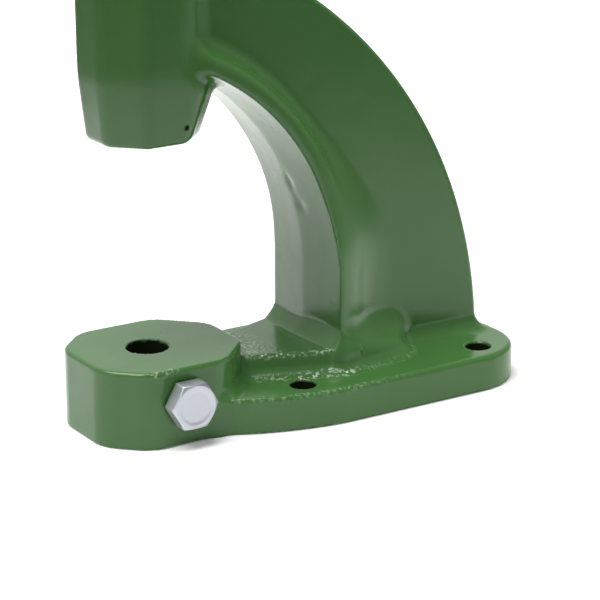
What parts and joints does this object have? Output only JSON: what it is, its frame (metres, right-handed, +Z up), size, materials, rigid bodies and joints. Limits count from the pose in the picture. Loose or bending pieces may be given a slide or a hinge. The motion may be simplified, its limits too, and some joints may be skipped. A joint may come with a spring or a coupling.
{
  "type": "fly press",
  "caption": "Small hand fly press: green cast C-frame with a die boss and bench flange, multi-start screw in a bronze nut, keyed ram, fly arm with ball weights and a turning grip.",
  "frame": {"origin": "on the die bore axis, at the underside of the base", "axes": "+Z up along the die bore and the ram, +X towards the back of the press, -X towards the operator"},
  "size_m": [0.356, 0.086, 0.3024],
  "materials": {
    "green_enamel": "thick glossy green enamel over rough sand casting",
    "zinc_plate": "bright zinc plate",
    "ground_steel": "ground steel, lightly oiled",
    "bronze": "turned bronze",
    "black_oxide": "black oxide",
    "black_plastic": "polished black moulding"
  },
  "bodies": {
    "frame": {"frame": "green_enamel", "screw_nut": "bronze", "nut_lock_screw": "black_oxide", "ram_guide_screw": "zinc_plate", "guide_lock_nut": "zinc_plate"},
    "die_bolt": {"die_clamp_bolt": "zinc_plate"},
    "ram": {"ram": "ground_steel", "ram_thrust_disc": "ground_steel", "ram_retaining_pins": "ground_steel"},
    "tool_screw": {"tool_clamp_screw": "black_oxide"},
    "screw_and_arm": {"press_screw": "ground_steel", "stop_collar": "black_oxide", "stop_collar_bolt": "black_oxide", "fly_arm": "green_enamel", "arm_key": "ground_steel", "hub_washer": "zinc_plate", "hub_nut": "zinc_plate", "front_ball": "green_enamel", "rear_ball": "green_enamel", "ball_set_screws": "black_oxide", "handle_stem": "ground_steel", "grip_washer": "zinc_plate", "grip_cap_nut": "zinc_plate"},
    "grip": {"handle_grip": "black_plastic"}
  },
  "joints": [
    {"name": "ram_slide", "type": "slide", "parent": "frame", "child": "ram", "axis": [0, 0, 1], "range_m": [-0.03, 0]},
    {"name": "screw_turn", "type": "hinge", "parent": "ram", "child": "screw_and_arm", "pos_m": [0, 0, 0.2], "axis": [0, 0, 1], "range_deg": [-270, 0]},
    {"name": "grip_spin", "type": "hinge", "parent": "screw_and_arm", "child": "grip", "pos_m": [-0.15, 0, 0.19], "axis": [0, 0, 1], "continuous": true},
    {"name": "die_bolt_travel", "type": "slide", "parent": "frame", "child": "die_bolt", "axis": [0, -1, 0], "range_m": [-0.0009, 0.012]},
    {"name": "tool_screw_travel", "type": "slide", "parent": "ram", "child": "tool_screw", "axis": [0, 1, 0], "range_m": [0, 0.0012]}
  ],
  "couplings": [
    {"joint": "ram_slide", "follows": "screw_turn", "m_per_rad": 0.0063661}
  ]
}
